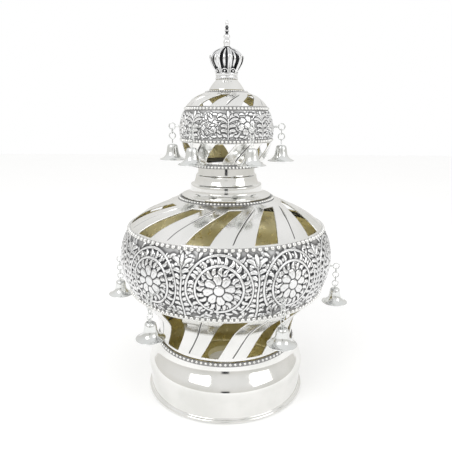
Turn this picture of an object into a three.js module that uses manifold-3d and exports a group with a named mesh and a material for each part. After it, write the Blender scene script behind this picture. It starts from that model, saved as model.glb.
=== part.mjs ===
// Torah crown: a bulb on a spun drum, a smaller globe on a neck, a cast crown finial,
// and two rows of hanging bells. Millimetres, +Z up, the foot stands on z = 0.
// Angles are in degrees about +Z, counted from the front (-Y) towards +X.
import * as THREE from 'three';
import { mergeVertices } from 'three/addons/utils/BufferGeometryUtils.js';
import Module from 'manifold-3d';

const wasm = await Module();
wasm.setup();

// ---------------------------------------------------------------- driving dimensions
const WALL = 1.2;            // sheet thickness of every spun shell
const GAP = 0.35;            // clearance between neighbouring pieces
const RELIEF = 1.1;          // height of the chased leaves above the band's ground
const ROOT = 0.8;            // how far a raised form reaches into the wall below it
const GROOVE = { half: 0.8, depth: 0.7 };

const DRUM = { segments: 26, innerSegments: 18 };
const DRUM_OUTSIDE = [
  [84.6, 0], [88.8, 0], [90, 1.8], [88.6, 3.8], [87.3, 4.8], [87.5, 18], [89.2, 31.5],
  [86.8, 40.2], [80, 50.6], [78.3, 57.4], [79, 60.2], [77.6, 62.4],
];
const DRUM_INSIDE = [[84.6, -1], [84.6, 3.6], [86.2, 5.2], [87.8, 31], [85.4, 39.8], [78.4, 50.6], [76.4, 63]];

const PLATE = { radius: 82.9, bottom: 1.2, top: 2.6, segments: 24 };
const SOCKET = { outer: 23.7, wall: 1.4, top: 8.4, apart: 80, segments: 12 };

// A swirled shell's rows are [radius, z, kind]: 'frame' closes a window's end, 'window' has the
// windows open up to the next row, 'end' closes them, and 'skin' and 'bead' rows shape only the outside.
const BULB = {
  sectors: 10,
  plainColumns: [0, 0.3, 0.65],
  swirl: [[62.8, -13], [121.4, 6.5], [191.9, 20.5], [220.8, 51.5]],
  windowHalf: [[62.8, 6.4], [121.4, 6.4], [191.9, 6]],
  rows: [
    [75.6, 62.8, 'frame'], [75.9, 65.2, 'window'], [78.9, 85, 'window'], [87.6, 102, 'window'],
    [102.6, 119, 'end'], [105.2, 121.4, 'bead'], [108.4, 123.2, 'bead'],
    [106.6, 125, 'skin'], [112.2, 139, 'plain'], [114.8, 156, 'plain'], [112.8, 174, 'plain'],
    [106.8, 188.4, 'skin'], [108.8, 190, 'bead'],
    [105.4, 191.9, 'bead'], [103.4, 193.8, 'window'], [91.6, 202.6, 'window'], [75.6, 210.9, 'window'],
    [58.5, 218.4, 'end'], [52.2, 220.8, 'bead'], [50.8, 223.3, 'bead'], [48.9, 222.6, 'bead'],
    [46.5, 223.2, 'plain'],
  ],
};
const BULB_BAND = { low: 125, high: 188.4, middle: 156, widest: 114.8 };
const FLOWER = { centre: -3, petals: 8, radius: 12.6, valley: 8.4, boss: 1.2, ring: 25.4, ringHalf: 1.5 };

const NECK = { segments: 20, innerSegments: 12 };
const NECK_OUTSIDE = [
  [48.4, 223.9], [48.4, 224.9], [42.2, 226.9], [38.6, 230], [38.4, 236], [34.8, 237.2], [31, 247.6], [30.2, 254.8],
];
const NECK_INSIDE = [[46.4, 223], [41.6, 225.6], [37.4, 229.4], [37, 235], [33.4, 236.6], [29.6, 247.6], [28.8, 256]];

const GLOBE = {
  sectors: 6,
  plainColumns: [0, 0.3, 0.53, 0.77],
  swirl: [[259.2, -18], [281, 0], [316.6, 28.5], [331, 66]],
  windowHalf: [[259.2, 10], [281, 12.5], [316.6, 9]],
  rows: [
    [33, 255.2, 'plain'], [39.4, 255.2, 'bead'], [40.6, 257, 'bead'],
    [38.7, 259, 'bead'], [40.4, 261.6, 'window'], [44.8, 270.6, 'window'],
    [47.4, 279, 'end'], [48, 281, 'bead'], [50, 282.9, 'bead'], [48.2, 284.8, 'skin'],
    [48.4, 297, 'plain'], [44, 312.6, 'skin'], [45.2, 314.6, 'bead'],
    [42.6, 316.6, 'bead'], [41.2, 318.4, 'window'], [36, 324, 'window'],
    [28.6, 328.2, 'end'], [22.4, 330.8, 'bead'], [20.9, 332.8, 'bead'], [18.6, 332.6, 'plain'],
  ],
};
const GLOBE_BAND = { low: 284.8, high: 312.6, middle: 298.4, widest: 48.5 };
const GLOBE_FLOWER = { count: 8, centre: -20.5, petals: 6, radius: 9.2, valley: 6, boss: 1.1 };

const COLLAR_OUTSIDE = [[18.6, 333.2], [17.2, 335.8], [14.6, 339.2], [11.2, 343.6]];
const COLLAR_INSIDE = [[17.2, 333], [15.9, 335.2], [13.4, 338.6], [9.8, 344]];

const CROWN = { ring: 11.4, hole: 9.6, low: 344, high: 350, leaves: 8, thick: 1.5 };
const CROWN_LEAF = [[10.6, 349.2, 3.4], [15.2, 356.4, 6], [16.9, 363.4, 6.6], [13, 370.6, 4.4], [4.6, 374.4, 2]];
const CROWN_MAST = [
  [0, 372.8], [5.8, 373.4], [5.6, 375.6], [3.3, 377.4], [3.3, 383], [1.9, 384.6], [3.1, 386.4], [1.7, 389.2],
  [1.5, 399.6], [0, 401.4],
];

const BELL_ROWS = [
  { name: 'bulb', surface: 113.1, reach: 123.7, eyelet: 144.8, rings: 3, bellTop: 119.4 },
  { name: 'globe', surface: 48.3, reach: 58.4, eyelet: 296.3, rings: 2, bellTop: 277.6 },
];
const BELLS = { count: 6, phase: 25, segments: 8 };
const BELL_PROFILE = [[0, 0], [5, -1.4], [7.8, -10.8], [14.2, -16.8], [6.6, -12], [0, -1.6]];
const LINK = { outer: 3.9, hole: 2.8, wire: 1.1, pitch: 10.1, bar: 0.55 };
const BOSS = { radius: 2.4, height: 2.4, root: 1.1 };

// ---------------------------------------------------------------- metal
const METAL = {
  silver: { color: 0xe9e8e2, roughness: 0.18, metalness: 1 },
  chased: { color: 0xd2d2cf, roughness: 0.3, metalness: 1 },
  inner: { color: 0xb9a468, roughness: 0.35, metalness: 1 },
};

// ---------------------------------------------------------------- small helpers
const radians = (degrees) => degrees * Math.PI / 180;
const degrees = (angle) => angle * 180 / Math.PI;

function at(radius, z, phi) {
  const angle = radians(phi);
  return [radius * Math.sin(angle), -radius * Math.cos(angle), z];
}

// The value at z of a line through [z, value] pairs, held at both ends.
function valueAt(pairs, z) {
  const next = pairs.findIndex(([level]) => level > z);
  if (next <= 0) {
    return next === 0 ? pairs[0][1] : pairs.at(-1)[1];
  }
  const [low, high] = [pairs[next - 1], pairs[next]];
  return low[1] + (high[1] - low[1]) * (z - low[0]) / (high[0] - low[0]);
}

// A closed three.js geometry as a solid that can be joined and cut.
function asSolid(geometry) {
  geometry.deleteAttribute('normal');
  geometry.deleteAttribute('uv');
  const merged = mergeVertices(geometry);
  const index = merged.index.array;
  const triangles = [];
  for (let i = 0; i < index.length; i += 3) {
    const [a, b, c] = [index[i], index[i + 1], index[i + 2]];
    if (a !== b && b !== c && a !== c) {
      triangles.push(a, b, c);
    }
  }
  const vertProperties = new Float32Array(merged.attributes.position.array);
  return new wasm.Manifold(new wasm.Mesh({ numProp: 3, vertProperties, triVerts: new Uint32Array(triangles) }));
}

function fromFaces(points, triangles) {
  const geometry = new THREE.BufferGeometry();
  geometry.setAttribute('position', new THREE.Float32BufferAttribute(points.flat(), 3));
  geometry.setIndex(triangles.flat());
  return asSolid(geometry);
}

function joined(pieces) {
  return pieces.reduce((whole, piece) => whole.add(piece));
}

// A profile turned about +Z: it starts and ends on the axis, or closes on itself.
function turned(profile, segments, phase = 0) {
  const onAxis = profile[0][0] === 0;
  const line = onAxis ? profile : [...profile, profile[0]];
  const points = line.map(([radius, z]) => new THREE.Vector2(radius, z));
  return asSolid(new THREE.LatheGeometry(points, segments, radians(phase)).rotateX(Math.PI / 2));
}

// A spun shell: the outside turned finely, the hollow cut out of it with fewer facets.
function spun(outside, inside, segments, innerSegments) {
  const close = (profile) => [[0, profile[0][1]], ...profile, [0, profile.at(-1)[1]]];
  return turned(close(outside), segments).subtract(turned(close(inside), innerSegments));
}

function cylinder(radius, low, high, segments) {
  const geometry = new THREE.CylinderGeometry(radius, radius, high - low, segments);
  return asSolid(geometry.rotateX(Math.PI / 2).translate(0, 0, (low + high) / 2));
}

function block(size, centre) {
  return asSolid(new THREE.BoxGeometry(...size).translate(...centre));
}

// A profile moved into the sheet, square to its own line.
function sunk(profile, depth) {
  return profile.map(([radius, z, kind], i) => {
    const before = profile[Math.max(i - 1, 0)];
    const after = profile[Math.min(i + 1, profile.length - 1)];
    const length = Math.hypot(after[0] - before[0], after[1] - before[1]);
    const turn = [(after[1] - before[1]) / length, (after[0] - before[0]) / length];
    return [radius - depth * turn[0], z + depth * turn[1], kind];
  });
}

// ---------------------------------------------------------------- swirled shells
// Columns are named by their share of a sector: 0 and 0.3 are a window's sides, and 0.65 is the
// engraved line midway to the next window.
const SIDE = 0.3;
const LINE = 0.65;

function columnsOf(shell, kind, outside) {
  if (outside && (kind === 'window' || kind === 'end')) {
    const lines = [-1, 0, 1].map((side) => ({ share: LINE + 0.01 * side, side }));
    return [{ share: 0, side: 0 }, { share: SIDE, side: 0 }, ...lines];
  }
  const shares = outside && kind !== 'frame' ? shell.plainColumns : [0, SIDE, LINE];
  return shares.map((share) => ({ share, side: 0 }));
}

// The points of one row all the way round, each with its running share for the stitching.
function rowPoints(shell, [radius, z, kind], outside, points) {
  const pitch = 360 / shell.sectors;
  const half = valueAt(shell.windowHalf, z);
  const centre = valueAt(shell.swirl, z);
  const row = [];
  for (let s = 0; s < shell.sectors; s += 1) {
    for (const { share, side } of columnsOf(shell, kind, outside)) {
      const inWindow = -half + 2 * half * share / SIDE;
      const between = half + (pitch - 2 * half) * (share - 0.01 * side - SIDE) / (1 - SIDE);
      const offset = (share <= SIDE ? inWindow : between) + side * degrees(GROOVE.half / radius);
      const engraved = outside && share === LINE && (kind === 'window' || kind === 'end');
      row.push({ share: s + share, index: points.length, window: share === 0, side: share === SIDE });
      points.push(at(radius - (engraved ? GROOVE.depth : 0), z, centre + pitch * s + offset));
    }
  }
  return row;
}

// Triangles between two rows; the columns that both rows have are joined to each other.
function stitch(lower, upper, sectors, open, triangles) {
  const get = (row, i) => row[i % row.length];
  const share = (row, i) => get(row, i).share + sectors * Math.floor(i / row.length);
  let [i, j] = [0, 0];
  while (i < lower.length || j < upper.length) {
    const difference = share(lower, i + 1) - share(upper, j + 1);
    const [a, b] = [get(lower, i), get(lower, i + 1)];
    const [c, d] = [get(upper, j), get(upper, j + 1)];
    if (Math.abs(difference) < 1e-6) {
      if (!(open && a.window)) {
        triangles.push([a.index, b.index, d.index], [a.index, d.index, c.index]);
      }
      i += 1;
      j += 1;
    } else if (difference < 0) {
      triangles.push([a.index, b.index, c.index]);
      i += 1;
    } else {
      triangles.push([a.index, d.index, c.index]);
      j += 1;
    }
  }
}

// The cheeks, sill and head of every window, between the outer and the inner face.
function windowEdges(outer, inner, triangles) {
  const quad = (a, b, c, d) => triangles.push([a, b, c], [a, c, d]);
  const pick = (row, key) => row.filter((point) => point[key]).map((point) => point.index);
  for (let i = 0; i < outer.length - 1; i += 1) {
    const left = [outer[i], outer[i + 1], inner[i + 1], inner[i]].map((row) => pick(row, 'window'));
    const right = [outer[i], outer[i + 1], inner[i + 1], inner[i]].map((row) => pick(row, 'side'));
    left[0].forEach((_, s) => quad(left[1][s], left[0][s], left[3][s], left[2][s]));
    right[0].forEach((_, s) => quad(right[0][s], right[1][s], right[2][s], right[3][s]));
  }
  const sill = [pick(outer[0], 'window'), pick(outer[0], 'side'), pick(inner[0], 'side'), pick(inner[0], 'window')];
  const [top, under] = [outer.at(-1), inner.at(-1)];
  const head = [pick(under, 'window'), pick(under, 'side'), pick(top, 'side'), pick(top, 'window')];
  sill[0].forEach((_, s) => quad(sill[0][s], sill[1][s], sill[2][s], sill[3][s]));
  head[0].forEach((_, s) => quad(head[0][s], head[1][s], head[2][s], head[3][s]));
}

// A spun wall with rows of swirled windows, engraved lines between them, and beads.
function swirledShell(shell) {
  const points = [];
  const triangles = [];
  const outside = shell.rows.map((row) => ({ kind: row[2], row: rowPoints(shell, row, true, points) }));
  const smooth = sunk(shell.rows.filter(([, , kind]) => kind !== 'bead' && kind !== 'skin'), WALL);
  const inside = smooth.map((row) => ({ kind: row[2], row: rowPoints(shell, row, false, points) }));
  const loop = [...outside, ...inside.toReversed()];
  loop.forEach(({ kind, row }, i) => {
    const next = loop[(i + 1) % loop.length];
    const open = i < outside.length ? kind === 'window' : next.kind === 'window' && i < loop.length - 1;
    stitch(row, next.row, shell.sectors, open, triangles);
  });
  const groups = (rows) => rows.reduce((list, { kind, row }) => {
    if (kind === 'window' || kind === 'end') {
      list.at(-1).push(row);
    }
    return kind === 'end' ? [...list, []] : list;
  }, [[]]).filter((group) => group.length > 0);
  const [outerGroups, innerGroups] = [groups(outside), groups(inside)];
  outerGroups.forEach((group, g) => windowEdges(group, innerGroups[g], triangles));
  return fromFaces(points, triangles);
}

// ---------------------------------------------------------------- raised ornament
// A place on a band: u runs around it from a centre line, v up from its middle, w out of it.
function bandPlace(shell, band, centre) {
  const ground = shell.rows.filter(([, z]) => z >= band.low && z <= band.high);
  return (u, v, w) => {
    const z = band.middle + v;
    const next = Math.max(1, ground.findIndex(([, level]) => level > z));
    const [low, high] = [ground[next - 1], ground[next]];
    const length = Math.hypot(high[0] - low[0], high[1] - low[1]);
    const radius = low[0] + (high[0] - low[0]) * (z - low[1]) / (high[1] - low[1]);
    const out = [(high[1] - low[1]) / length, (low[0] - high[0]) / length];
    return at(radius + w * out[0], z + w * out[1], centre + degrees(u / band.widest));
  };
}

// A flat shape laid over the band as a raised form with a root in the wall.
function raised(place, shape, height) {
  const geometry = new THREE.ExtrudeGeometry(shape, { depth: ROOT + height, bevelEnabled: false, steps: 1 });
  const position = geometry.attributes.position;
  for (let i = 0; i < position.count; i += 1) {
    position.setXYZ(i, ...place(position.getX(i), position.getY(i), position.getZ(i) - ROOT));
  }
  return asSolid(geometry);
}

function polygon(centre, reaches) {
  return reaches.map((reach, i) => {
    const angle = 2 * Math.PI * i / reaches.length;
    return new THREE.Vector2(centre[0] + reach * Math.cos(angle), centre[1] + reach * Math.sin(angle));
  });
}

function petalReaches(flower) {
  return Array.from({ length: 2 * flower.petals }, (_, i) => (i % 2 ? flower.valley : flower.radius));
}

function scrollShape(centre, radius, half, steps) {
  const ring = new THREE.Shape(polygon(centre, Array(steps).fill(radius + half)));
  ring.holes.push(new THREE.Path(polygon(centre, Array(steps).fill(radius - half))));
  return ring;
}

// A pointed leaf from its stalk at (u, v), leaning at an angle from +u.
function leafShape([u, v], lean, length, width) {
  const spine = new THREE.Vector2(Math.cos(radians(lean)), Math.sin(radians(lean)));
  const side = new THREE.Vector2(-spine.y, spine.x);
  const point = (along, across) => {
    return new THREE.Vector2(u, v).addScaledVector(spine, along).addScaledVector(side, across);
  };
  const belly = 0.42 * length;
  return new THREE.Shape([point(0, 0), point(belly, -width / 2), point(length, 0), point(belly, width / 2)]);
}

// A flower whose petals rise to a boss in its middle.
function raisedFlower(place, flower) {
  const outline = polygon([0, 0], petalReaches(flower));
  const count = outline.length;
  const points = [RELIEF, -ROOT].flatMap((w) => outline.map(({ x, y }) => place(x, y, w)));
  points.push(place(0, 0, RELIEF + flower.boss), place(0, 0, -ROOT));
  const triangles = [];
  for (let i = 0; i < count; i += 1) {
    const j = (i + 1) % count;
    triangles.push([i, j, 2 * count], [count + j, count + i, 2 * count + 1]);
    triangles.push([count + i, count + j, j], [count + i, j, i]);
  }
  return fromFaces(points, triangles);
}

// ---------------------------------------------------------------- pieces
function drum() {
  return spun(DRUM_OUTSIDE, DRUM_INSIDE, DRUM.segments, DRUM.innerSegments);
}

// The plate in the foot, with two collared sockets, one behind the other.
function stavePlate() {
  let plate = cylinder(PLATE.radius, PLATE.bottom, PLATE.top, PLATE.segments);
  for (const side of [-1, 1]) {
    const centre = [0, side * SOCKET.apart / 2, 0];
    const tube = cylinder(SOCKET.outer, PLATE.bottom, SOCKET.top, SOCKET.segments);
    const bore = cylinder(SOCKET.outer - SOCKET.wall, PLATE.bottom - 1, SOCKET.top + 1, SOCKET.segments);
    plate = plate.add(tube.translate(centre)).subtract(bore.translate(centre));
  }
  return plate;
}

// One flower in its scroll ring with leaves around it, and the leaf spray beside the ring.
function bulbOrnament(sector) {
  const pitch = 360 / BULB.sectors;
  const place = bandPlace(BULB, BULB_BAND, FLOWER.centre + pitch * sector);
  const half = radians(pitch / 2) * BULB_BAND.widest;
  const forms = [raisedFlower(place, FLOWER)];
  forms.push(raised(place, scrollShape([0, 0], FLOWER.ring, FLOWER.ringHalf, 8), RELIEF));
  for (const [u, v, lean, length] of [[-1, 2, 112, 21], [1, -2, -68, 21]]) {
    forms.push(raised(place, leafShape([half + u, v], lean, length, 7), RELIEF));
  }
  return forms;
}

// The little bosses that the eyelets are fixed to.
function eyeletBosses(row) {
  return Array.from({ length: BELLS.count }, (_, i) => {
    const post = cylinder(BOSS.radius, -BOSS.root, BOSS.height, 4).rotate([0, 90, 0]);
    return post.translate([row.surface, 0, row.eyelet]).rotate([0, 0, bellTurn(i)]);
  });
}

// How far the i-th bell is turned from +X about +Z.
function bellTurn(i) {
  return BELLS.phase + 360 / BELLS.count * i - 90;
}

function bulb() {
  const forms = Array.from({ length: BULB.sectors }, (_, sector) => bulbOrnament(sector)).flat();
  return joined([swirledShell(BULB), ...forms, ...eyeletBosses(BELL_ROWS[0])]);
}

function neck() {
  return spun(NECK_OUTSIDE, NECK_INSIDE, NECK.segments, NECK.innerSegments);
}

function globeOrnament(index) {
  const pitch = 360 / GLOBE_FLOWER.count;
  const place = bandPlace(GLOBE, GLOBE_BAND, GLOBE_FLOWER.centre + pitch * index);
  const half = radians(pitch / 2) * GLOBE_BAND.widest;
  return [
    raisedFlower(place, GLOBE_FLOWER),
    raised(place, leafShape([half, -10], 90, 20, 6), RELIEF),
  ];
}

function globe() {
  const forms = Array.from({ length: GLOBE_FLOWER.count }, (_, index) => globeOrnament(index)).flat();
  return joined([swirledShell(GLOBE), ...forms, ...eyeletBosses(BELL_ROWS[1])]);
}

function collar() {
  return spun(COLLAR_OUTSIDE, COLLAR_INSIDE, 12, 8);
}

// A cast leaf of the finial's crown: a bar that bulges outwards, wider in the middle.
function crownLeaf(phi) {
  const inside = sunk(CROWN_LEAF, CROWN.thick);
  const points = CROWN_LEAF.flatMap(([radius, z, width], i) => [
    [-width / 2, -radius, z],
    [width / 2, -radius, z],
    [width / 2, -inside[i][0], inside[i][1]],
    [-width / 2, -inside[i][0], inside[i][1]],
  ]);
  const end = points.length - 4;
  const triangles = [[0, 2, 1], [0, 3, 2], [end, end + 1, end + 2], [end, end + 2, end + 3]];
  for (let first = 0; first < end; first += 4) {
    for (let k = 0; k < 4; k += 1) {
      const [a, b] = [first + k, first + (k + 1) % 4];
      triangles.push([a, b, b + 4], [a, b + 4, a + 4]);
    }
  }
  return fromFaces(points, triangles).rotate([0, 0, phi]);
}

function finial() {
  const { hole, low, high } = CROWN;
  const ring = [[hole, low], [CROWN.ring, low], [CROWN.ring, high], [hole, high]];
  const leaves = Array.from({ length: CROWN.leaves }, (_, i) => crownLeaf(360 / CROWN.leaves * i));
  return joined([turned(ring, 12), turned(CROWN_MAST, 6), ...leaves]);
}

// A wire ring of few sides in the X-Z plane, centred on the origin.
function wireRing(radius, wire, sides) {
  const loop = [240, 0, 120].map((angle) => {
    return [radius + wire * Math.cos(radians(angle)), wire * Math.sin(radians(angle))];
  });
  return turned(loop, sides).rotate([90, 0, 0]);
}

// The eyelet stem, its ring and the chain below it, as one flat pierced strip in the stem's plane.
function hanger(row) {
  const start = row.surface + BOSS.height + GAP - row.reach;
  const corner = (i, z, reach) => [reach * Math.sin(radians(60 * i)), z + reach * Math.cos(radians(60 * i))];
  const left = [[start, 0.6], [start, -0.6]];
  const right = [];
  const holes = [];
  for (let i = 0; i < row.rings; i += 1) {
    const z = -LINK.pitch * i;
    left.push(...(i > 0 ? [[-LINK.bar, z + LINK.outer - 0.3], corner(5, z, LINK.outer)] : []), corner(4, z, LINK.outer));
    right.push([LINK.bar, z + LINK.outer - 0.3], corner(1, z, LINK.outer), corner(2, z, LINK.outer));
    holes.push(new THREE.Path([0, 1, 2, 3, 4, 5].map((k) => new THREE.Vector2(...corner(k, z, LINK.hole)))));
    for (const [line, side] of [[left, -1], [right, 1]]) {
      line.push([side * LINK.bar, z - LINK.outer + 0.3]);
    }
  }
  const outline = [...left, ...right.toReversed(), corner(5, 0, LINK.outer)];
  const shape = new THREE.Shape(outline.map(([x, y]) => new THREE.Vector2(x, y)));
  shape.holes.push(...holes);
  const strip = new THREE.ExtrudeGeometry(shape, { depth: LINK.wire, bevelEnabled: false, steps: 1 });
  return asSolid(strip.translate(0, 0, -LINK.wire / 2).rotateX(Math.PI / 2).translate(row.reach, 0, row.eyelet));
}

// A bell with its own loop, which passes through the last link of the chain.
function bell(row) {
  const shell = turned(BELL_PROFILE.toReversed(), BELLS.segments).translate([row.reach, 0, row.bellTop]);
  const lastWire = row.eyelet - LINK.pitch * (row.rings - 1) - LINK.hole;
  const top = lastWire + 1.2;
  const bottom = row.bellTop - 0.6;
  const loop = wireRing((top - bottom) / 2, 0.5, 4).rotate([0, 0, 90]);
  return shell.add(loop.translate([row.reach, 0, (top + bottom) / 2]));
}

// ---------------------------------------------------------------- assembly
function meshOf(piece, name, metal) {
  const { vertProperties, triVerts } = piece.getMesh();
  const geometry = new THREE.BufferGeometry();
  geometry.setAttribute('position', new THREE.BufferAttribute(Float32Array.from(vertProperties), 3));
  geometry.setIndex(Array.from(triVerts));
  geometry.computeVertexNormals();
  const mesh = new THREE.Mesh(geometry, new THREE.MeshStandardMaterial(metal));
  mesh.name = name;
  return mesh;
}

const crown = new THREE.Group();
crown.add(meshOf(drum(), 'base_drum', METAL.silver));
crown.add(meshOf(stavePlate(), 'stave_plate', METAL.inner));
crown.add(meshOf(bulb(), 'bulb', METAL.chased));
crown.add(meshOf(neck(), 'neck', METAL.silver));
crown.add(meshOf(globe(), 'globe', METAL.chased));
crown.add(meshOf(collar(), 'globe_collar', METAL.silver));
crown.add(meshOf(finial(), 'finial_crown', METAL.chased));

for (const row of BELL_ROWS) {
  for (let i = 0; i < BELLS.count; i += 1) {
    const hangerMesh = meshOf(hanger(row), `${row.name}_hanger_${i + 1}`, METAL.silver);
    const bellMesh = meshOf(bell(row), `${row.name}_bell_${i + 1}`, METAL.silver);
    for (const mesh of [hangerMesh, bellMesh]) {
      mesh.rotation.z = radians(bellTurn(i));
      crown.add(mesh);
    }
  }
}

export default crown;
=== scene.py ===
# Looks of the torah crown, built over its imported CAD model. Metres, +Z up, front towards -Y.
import math

import bpy
import numpy as np
from mathutils import Matrix, Vector


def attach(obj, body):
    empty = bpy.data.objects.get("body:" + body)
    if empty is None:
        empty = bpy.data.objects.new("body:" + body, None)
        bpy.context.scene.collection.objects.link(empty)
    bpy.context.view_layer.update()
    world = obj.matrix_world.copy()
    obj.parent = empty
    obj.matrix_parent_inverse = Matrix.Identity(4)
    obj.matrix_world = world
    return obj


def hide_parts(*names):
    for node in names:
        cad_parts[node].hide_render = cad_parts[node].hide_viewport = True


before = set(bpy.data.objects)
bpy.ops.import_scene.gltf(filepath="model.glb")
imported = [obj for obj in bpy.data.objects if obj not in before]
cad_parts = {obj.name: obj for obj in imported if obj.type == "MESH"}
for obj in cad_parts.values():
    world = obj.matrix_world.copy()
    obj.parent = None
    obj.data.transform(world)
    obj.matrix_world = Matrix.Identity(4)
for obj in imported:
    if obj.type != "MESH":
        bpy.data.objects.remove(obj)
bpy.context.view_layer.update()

MM = 0.001
RNG = np.random.default_rng(7)

# ---------------------------------------------------------------- sizes, in millimetres
WALL = 1.2
DRUM = [
    (84.6, 0), (88, 0), (89.6, 0.9), (90, 2), (89.3, 3.3), (87.9, 4), (87.2, 4.8), (87.1, 6), (87.2, 12),
    (87.6, 20), (88.6, 26), (89.3, 31.5), (88.8, 35.5), (86.8, 40), (83.5, 45), (80.2, 50.2), (78.7, 54.5),
    (78.1, 58.2),
]
LOWER = [
    (75.9, 62.9), (75.8, 66), (76.6, 72), (77.9, 82), (81, 93), (86.2, 100.5), (92.4, 107.3), (98.6, 113.2),
    (103.4, 118.6), (105.4, 121.6),
]
BAND = [
    (105.6, 124.2), (108, 129.4), (111.4, 137.6), (113.6, 146), (114.7, 154), (114.8, 161), (113.8, 169),
    (111.6, 177.6), (108.2, 185), (105.6, 189.2),
]
DOME = [
    (105.2, 191.8), (103.4, 193.9), (99.4, 197.3), (93.4, 201.6), (84, 207), (72, 212.6), (60.6, 217.6),
    (52.4, 220.9),
]
LOWER_SWIRL = [(62.8, -13.6), (80, -6.6), (97, -0.6), (121.6, 6.5)]
DOME_SWIRL = [(191.8, 20.5), (203, 25.4), (212, 34.4), (221, 52)]
LOWER_WINDOW = {"low": 65.4, "high": 118.8, "half": 6.8}
DOME_WINDOW = {"low": 193.6, "high": 217.6, "half": 6.5}
BULB_SECTORS = 10
RELIEF = 1.45
# faces round and up each chased band
BAND_MESH = (1150, 84)
GLOBE_BAND_MESH = (1100, 84)

NECK = [
    (48.2, 223.8), (48.2, 224.8), (46.4, 225.3), (43, 226), (40.6, 227), (39.2, 228.3), (38.7, 230),
    (38.4, 235.4), (37.6, 236.2), (35.6, 236.8), (34.9, 237.6), (33.6, 241.4), (32.7, 245.4), (31.6, 246.4),
    (31.1, 248), (30.4, 254.4),
]
GLOBE_LOWER = [(38.4, 259.4), (40.3, 262), (43, 267), (45.6, 272.6), (47.4, 278.4), (48.2, 281.2)]
GLOBE_BAND = [(48, 284.6), (48.7, 289), (48.8, 294), (48, 300), (46.4, 306), (44.1, 312.4)]
GLOBE_DOME = [(42.8, 316.4), (41.2, 318.8), (37, 323.2), (32.2, 326.6), (27.4, 328.9), (22.6, 331)]
GLOBE_LOWER_SWIRL = [(259.2, -20), (270, -11), (281.4, 1)]
GLOBE_DOME_SWIRL = [(316.2, 27.5), (323, 38), (329, 58.5), (331.2, 66)]
GLOBE_LOWER_WINDOW = {"low": 261.2, "high": 280.6, "half": 12.2}
GLOBE_DOME_WINDOW = {"low": 317, "high": 328.8, "half": 9.4}
GLOBE_SECTORS = 6

COLLAR = [(18.4, 333.3), (17.8, 334.6), (16.4, 336.8), (14.4, 339.6), (12.4, 341.9), (11.3, 343.4)]


DRUM_INSIDE = [
    (84.6, 0), (84.6, 3.6), (86, 5.2), (86.1, 14), (87.4, 27), (88, 31.5), (85.8, 39.6),
    (79, 50), (77, 57), (76.6, 58.2),
]

NECK_INSIDE = [
    (46.4, 223.8), (41.6, 225.8), (37.6, 229.4), (37, 235), (33.6, 236.4), (29.8, 247.6), (29, 254.4),
]

CONE_INSIDE = [
    (17.2, 333.3), (15.9, 335.2), (13.2, 338.8), (10, 343.4),
]

STAVE_COLLAR = [
    (23.7, 1.2), (23.7, 7.4), (23.4, 8.2), (22.9, 8.4), (22.4, 8.2), (22.3, 7.6), (22.3, 0.9),
    (23, 0.8), (24.8, 0.9), (25.2, 1.2), (24.8, 2.9), (23.7, 3.1), (23.7, 1.2),
]

FINIAL_RING = [
    (9.8, 344), (10.9, 344), (11.5, 344.4), (11.7, 345), (11.2, 345.5), (11.1, 347), (11.2, 348.6),
    (11.7, 349.1), (11.6, 349.8), (10.8, 350.2), (9.6, 350.2), (9.6, 344.2), (9.8, 344),
]

WIDE_LEAF = [
    (10.2, 350), (11.6, 352.4), (14.2, 356.6), (16.4, 361.6), (16.2, 366.4), (12.6, 370.8), (7.6, 373.6),
    (4, 374.6),
]

LEAF_TIP = [
    (15.8, 360), (17, 363), (17.7, 365.4), (17.1, 367.2), (16, 366.6),
]

SLIM_LEAF = [
    (10, 354), (12.4, 357.4), (14.6, 362), (14.2, 366.8), (10.8, 370.6), (6, 373.2), (3.4, 374),
]

FINIAL_CORE = [
    (9.2, 350), (11.6, 355), (13.4, 361), (12.8, 366), (9, 370.6), (4, 373),
]

MAST = [
    (0, 372.6), (3.6, 372.8), (5.4, 373.6), (5.2, 374.8), (3.8, 375.6), (2.9, 376.6),
    (3.2, 378.6), (3.4, 380.4), (3.1, 382), (2.4, 382.8), (2.2, 383.4), (3.1, 384.2),
    (3.3, 385.4), (3.1, 386.6), (2.3, 387.4), (1.7, 388.2), (1.2, 389), (1.9, 390.4),
    (2.2, 391.2), (1.6, 392.2), (1.2, 392.8), (1.7, 393.8), (1.8, 394.6), (1.2, 395.6),
    (1, 396.2), (1.5, 397.2), (1.6, 398.4), (1.3, 399.8), (0.8, 400.9), (0, 401.3),
]

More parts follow.
